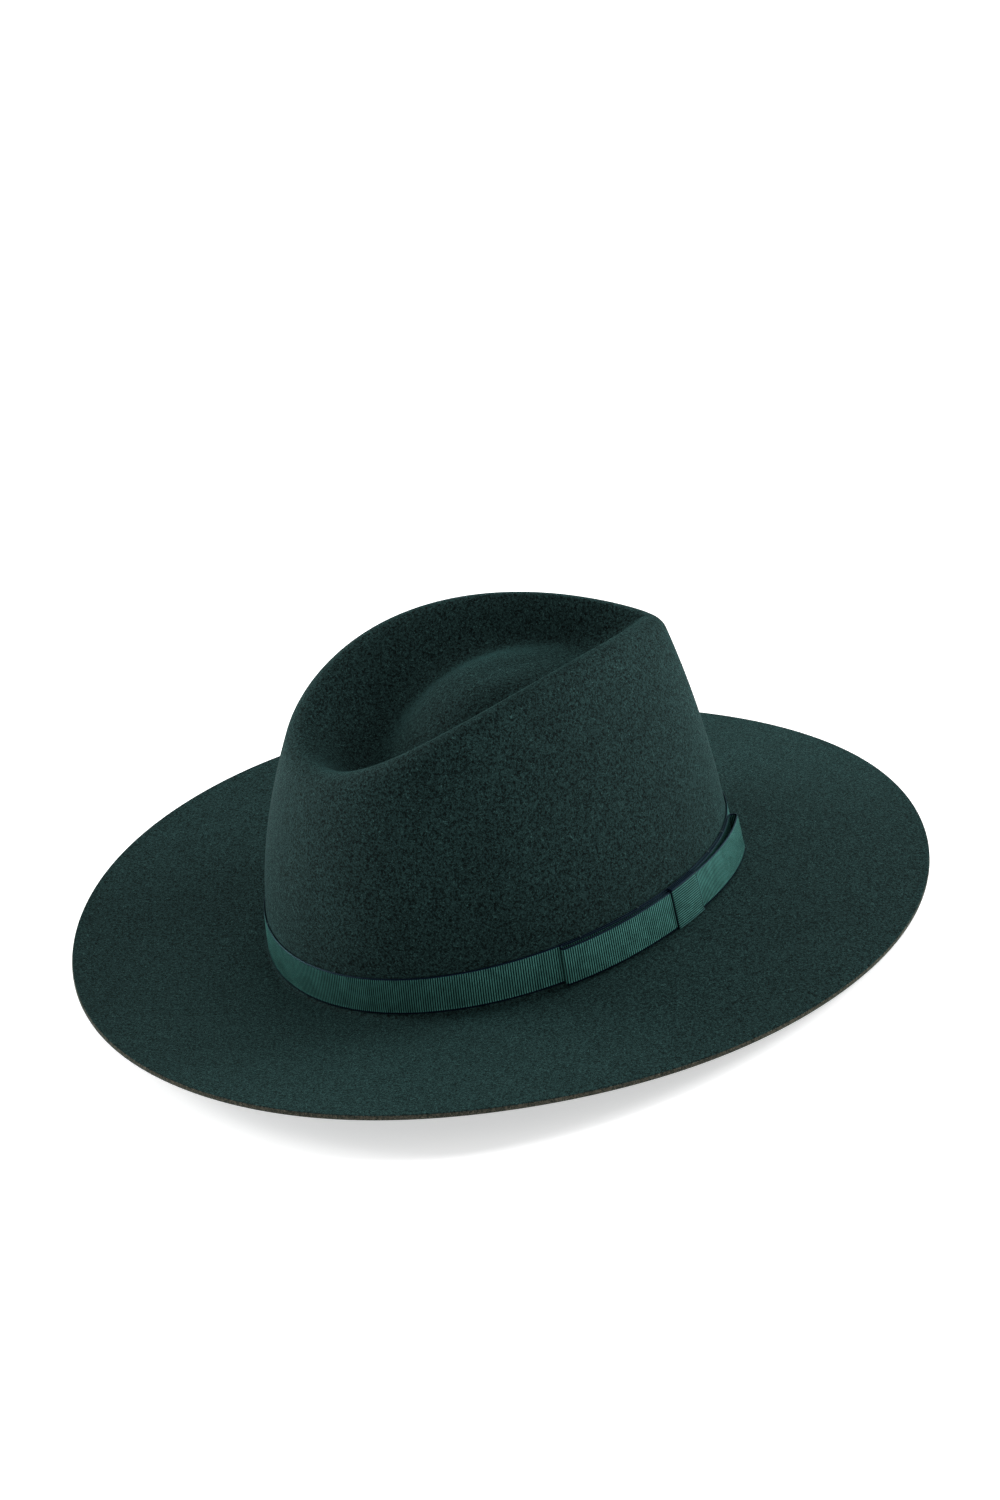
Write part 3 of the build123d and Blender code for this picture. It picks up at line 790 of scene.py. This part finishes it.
def tape_place(along, across):
    """The tape goes down behind the band, round under the reed and up on the inside."""
    straight = (TAPE_OUTER_TOP - REED_HEIGHT, pi * TAPE_RADIUS, TAPE_INNER_TOP - REED_HEIGHT)
    run = across * sum(straight)
    turn = np.clip((run - straight[0]) / TAPE_RADIUS, 0, pi)
    down = np.clip(straight[0] - run, 0, None)
    up = np.clip(run - straight[0] - straight[1], 0, None)
    height = REED_HEIGHT - TAPE_RADIUS * np.sin(turn) + down + up
    return on_crown(along * 2 * pi, height, BAND_MIDDLE + TAPE_RADIUS * np.cos(turn))


def patch_place(start, end, low, high, out):
    def place(along, across):
        return on_crown(start + (end - start) * along, low + (high - low) * across, out)
    return place


def small_bow_place(side):
    """One loop of the small bow at the back of the sweatband."""
    middle, half_length = SMALL_LOOP
    gap, half_thick = SMALL_LOOP_OUT

    def place(along, across):
        turn = along * 2 * pi
        reach = side * (middle - half_length * np.cos(turn))
        width = SMALL_LOOP_WIDTH - SMALL_LOOP_WAIST * (1 + np.cos(turn)) / 2
        out = BAND_INNER - gap + half_thick * np.sin(turn)
        return on_crown(pi + reach / HALF_LENGTH, SMALL_BOW_HEIGHT + (across - 0.5) * width, out)
    return place


def small_knot_place(along, across):
    gap, half_thick = SMALL_KNOT_OUT
    turn = along * 2 * pi
    height = SMALL_BOW_HEIGHT + SMALL_KNOT_HALF * np.sin(turn)
    reach = (across - 0.5) * SMALL_KNOT_WIDTH
    return on_crown(pi + reach / HALF_LENGTH, height, BAND_INNER - gap + half_thick * np.cos(turn))


def joined(name, pieces):
    with bpy.context.temp_override(active_object=pieces[0], selected_editable_objects=pieces):
        bpy.ops.object.join()
    pieces[0].name = name
    pieces[0].data.name = name
    return pieces[0]


def inner_cloth():
    tape = grosgrain_material("tape", FINE_PITCH, *TAPE_COLOURS, edge_share=0.02)
    bow_cloth = grosgrain_material("band_bow", FINE_PITCH, *SMALL_BOW_COLOURS, edge_share=0.05)
    label = grosgrain_material("tab", TAB_PITCH, *TAB_COLOURS, edge_share=0.05)
    reed_tape = strip_piece("reed_tape", tape_place, TAPE_LENGTH, TAPE_OUTER_TOP + TAPE_INNER_TOP, TAPE,
                            TAPE_RIBS, True, rows=TAPE_ROWS, depth=FINE_DEPTH)
    seam_place = patch_place(pi - SEAM_HALF, pi + SEAM_HALF, SEAM_FOOT, SEAM_TOP, SEAM_MIDDLE)
    seam = strip_piece("sweatband_seam_tape", seam_place, SEAM_WIDTH, SEAM_TOP - SEAM_FOOT, TAPE,
                       SEAM_RIBS, False, rows=TAPE_ROWS, depth=FINE_DEPTH)
    loops = [strip_piece(f"small_loop_{side}", small_bow_place(side), SMALL_LOOP_LENGTH, SMALL_LOOP_WIDTH,
                         SMALL_SKIN, SMALL_LOOP_RIBS, True, rows=SMALL_ROWS, depth=SMALL_DEPTH)
             for side in (-1, 1)]
    loops.append(strip_piece("small_knot", small_knot_place, SMALL_KNOT_LENGTH, SMALL_KNOT_WIDTH,
                             SMALL_SKIN, SMALL_KNOT_RIBS, True, rows=SMALL_ROWS, depth=SMALL_DEPTH))
    small_bow = joined("sweatband_bow", loops)
    label_place = patch_place(TAB_START, TAB_END, TAB_FOOT, TAB_TOP, BAND_INNER - TAB_GAP)
    tab = strip_piece("size_tab", label_place, TAB_WIDTH, TAB_TOP - TAB_FOOT, TAB_THICK,
                      TAB_RIBS, False, rows=TAB_ROWS, depth=FINE_DEPTH)
    for piece, finish in ((reed_tape, tape), (seam, tape), (small_bow, bow_cloth), (tab, label)):
        piece.data.materials.append(finish)
    return reed_tape, seam, small_bow, tab


def stitch_piece():
    """A row of thread stitches, each a rounded thread that dips into the cloth at both ends."""
    out = BAND_MIDDLE - TAPE_RADIUS - TAPE / 2 - STITCH_RADIUS - STITCH_GAP
    spread = STITCH_LENGTH / 2 / HALF_LENGTH
    share = np.linspace(-1, 1, STITCH_RINGS)
    size = STITCH_RADIUS * np.sqrt(np.clip(1 - (share * STITCH_TAPER) ** 4, STITCH_LEAST, 1))
    turn = np.linspace(0, 2 * pi, STITCH_SIDES, endpoint=False)
    heights = STITCH_HEIGHT + size[:, None] * np.cos(turn)
    outs = out + STITCH_DIP * share[:, None] ** 4 + size[:, None] * np.sin(turn)
    ring = np.arange(STITCH_SIDES)
    points, faces = [], []
    for number in range(STITCHES):
        angles = 2 * pi * number / STITCHES + spread * share
        start = len(points)
        points += on_crown(angles[:, None], heights, outs).reshape(-1, 3).tolist()
        for row in range(STITCH_RINGS - 1):
            a = start + row * STITCH_SIDES + ring
            b = start + row * STITCH_SIDES + (ring + 1) % STITCH_SIDES
            faces += np.stack([a, b, b + STITCH_SIDES, a + STITCH_SIDES], -1).tolist()
        faces.append((start + ring)[::-1].tolist())
        faces.append((start + (STITCH_RINGS - 1) * STITCH_SIDES + ring).tolist())
    data = bpy.data.meshes.new("sweatband_stitching")
    data.from_pydata(to_frame(np.array(points)).tolist(), [], faces)
    smooth(data)
    data.materials.append(thread_material("thread", THREAD))
    return placed("sweatband_stitching", data)


# ---- stage ----
def camera():
    data = bpy.data.cameras.new("camera")
    eye = placed("camera", data)
    azimuth, elevation, roll = (radians(value) for value in (VIEW_AZIMUTH, VIEW_ELEVATION, VIEW_ROLL))
    back = Vector((sin(azimuth) * cos(elevation), -cos(azimuth) * cos(elevation), sin(elevation)))
    right = (-back).cross(Vector((0, 0, 1))).normalized()
    up = right.cross(-back)
    side = cos(roll) * right + sin(roll) * up
    top = -sin(roll) * right + cos(roll) * up
    turn = REST.to_3x3() @ Matrix((side, top, back)).transposed()
    eye.matrix_world = Matrix.Translation(REST @ (back * VIEW_DISTANCE) * MM) @ turn.to_4x4()
    data.sensor_width = SENSOR
    data.lens = SENSOR * VIEW_SCALE * VIEW_DISTANCE / PICTURE_HEIGHT
    data.shift_x, data.shift_y = VIEW_SHIFT
    data.clip_start, data.clip_end = VIEW_RANGE
    bpy.context.scene.camera = eye
    return eye


def floor():
    data = bpy.data.meshes.new("floor")
    corners = [(x * FLOOR_REACH, y * FLOOR_REACH, 0) for x, y in ((-1, -1), (1, -1), (1, 1), (-1, 1))]
    data.from_pydata(corners, [], [(0, 1, 2, 3)])
    material, _, shader = new_material("floor")
    settle(shader, Base_Color=(FLOOR_GREY, FLOOR_GREY, FLOOR_GREY, 1), Roughness=0.9, Specular_IOR_Level=0.1,
           Emission_Color=WHITE, Emission_Strength=FLOOR_GLOW)
    data.materials.append(material)
    placed("floor", data)


def sky():
    """White low down, so that a level view has a plain background, and dimmer overhead."""
    world = bpy.data.worlds.new("studio")
    world.use_nodes = True
    tree = world.node_tree
    height = add(tree, "SeparateXYZ", Vector=add(tree, "TexCoord").outputs["Generated"]).outputs[2]
    background = tree.nodes["Background"].inputs
    tree.links.new(between(tree, height, *SKY_HEIGHTS, *SKY_STRENGTHS), background["Strength"])
    background["Color"].default_value = WHITE
    bpy.context.scene.world = world


def lights(eye):
    right = eye.matrix_world.to_3x3() @ Vector((1, 0, 0))
    right = Vector((right.x, right.y, 0)).normalized()
    away = Vector((-right.y, right.x, 0))

    def towards(direction):
        return right * direction[0] + away * direction[1] + Vector((0, 0, direction[2]))

    data = bpy.data.lights.new("overhead", "SUN")
    data.energy, data.angle = SUN_STRENGTH, radians(SUN_SPREAD)
    placed("overhead", data).rotation_euler = towards(SUN_TOWARDS).to_track_quat("Z", "Y").to_euler()
    for name, direction, size, power in SOFTBOXES:
        data = bpy.data.lights.new(name, "AREA")
        data.shape, data.energy = "RECTANGLE", power
        data.size, data.size_y = size
        lamp = placed(name, data)
        lamp.location = towards(direction)
        lamp.rotation_euler = (Vector(AIM) - lamp.location).to_track_quat("-Z", "Y").to_euler()


# ---- build ----
def declare(piece):
    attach(piece, "root")
    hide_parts(piece.name.split(".")[0])


def main():
    bpy.context.scene.view_settings.view_transform = "Standard"
    floor()
    sky()
    lights(camera())

    declare(felt_piece())
    for piece, length, width, held in ribbon_pieces():
        declare(piece)
    inside = (sweatband_piece(), stitch_piece(), *inner_cloth())
    for piece, slot in zip(inside, ("band", "thread", "tape", "tape", "ribbon", "tab")):
        declare(piece)

    thread = thread_material("tack_thread", TACK_THREAD)
    reed = plastic_material("reed", REED)
    for name, finish in (("ribbon_tacks", thread), ("bow_tacks", thread), ("sweatband_reed", reed)):
        for slot in bpy.data.objects[name].material_slots:
            slot.material = finish


main()
